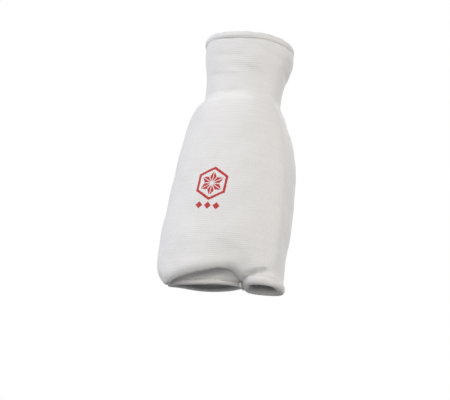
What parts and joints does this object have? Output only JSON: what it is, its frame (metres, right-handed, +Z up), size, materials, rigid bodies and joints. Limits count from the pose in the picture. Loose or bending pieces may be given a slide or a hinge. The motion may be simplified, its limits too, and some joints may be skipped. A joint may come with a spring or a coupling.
{
  "type": "fist protector",
  "caption": "Padded elastic knit fist protector for karate, with a foam pad over the back of the hand, a plain wrist cuff, and hemmed openings for the fingers and the thumb.",
  "frame": {"origin": "middle of the wrist, where the cuff meets the padded part", "axes": "+Z up the forearm, so that the fingers point down; -Y out of the back of the hand; +X towards the thumb"},
  "size_m": [0.1003, 0.0612, 0.2062],
  "materials": {
    "knit": "white elastic rib knit, matte",
    "padded_knit": "white elastic knit stretched over foam, matte",
    "hem": "turned and stitched knit, matte",
    "thread": "white polyester sewing thread, slightly glossy"
  },
  "bodies": {
    "root": {"wrist_cuff": "knit", "cuff_hem": "hem", "hand_sleeve": "knit", "back_pad": "padded_knit", "finger_hem": "hem", "thumb_hem": "hem", "web_tack": "thread"}
  },
  "joints": []
}
